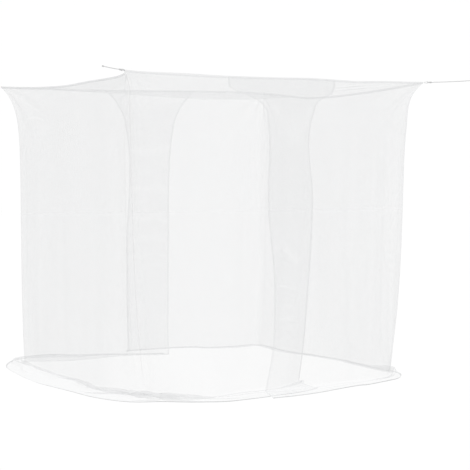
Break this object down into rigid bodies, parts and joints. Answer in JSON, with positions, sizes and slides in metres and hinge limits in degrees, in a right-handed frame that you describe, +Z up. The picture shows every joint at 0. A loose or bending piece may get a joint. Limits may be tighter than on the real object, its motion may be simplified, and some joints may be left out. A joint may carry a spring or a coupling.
{
  "type": "box mosquito net canopy",
  "caption": "Rectangular mosquito net canopy of fine sheer mesh with lapped entrances and loose hems on the floor, hung by cords from its top corners.",
  "frame": {"origin": "midway between the four top corners where the net hangs, at the level of the roof's edge", "axes": "+X along the long side, +Y from the front wall to the back wall, +Z up; the floor is 1.96 m below the origin"},
  "size_m": [2.645, 2.4757, 2.0067],
  "materials": {
    "net": "fine sheer white mesh",
    "tape": "folded white mesh and tape",
    "cord": "braided cord"
  },
  "bodies": {
    "root": {"roof_panel": "net", "wall_cloth_left": "net", "wall_cloth_right": "net", "edge_binding": "tape", "corner_loop_front_left": "tape", "corner_loop_back_left": "tape", "corner_loop_back_right": "tape", "corner_loop_front_right": "tape", "tie_knot_front_left": "cord", "tie_knot_back_left": "cord", "tie_knot_back_right": "cord", "tie_knot_front_right": "cord", "cord_front_left": "cord", "cord_back_left": "cord", "cord_back_right": "cord", "cord_front_right": "cord", "end_knot_front_left": "cord", "end_knot_back_left": "cord", "end_knot_back_right": "cord", "end_knot_front_right": "cord"}
  },
  "joints": []
}
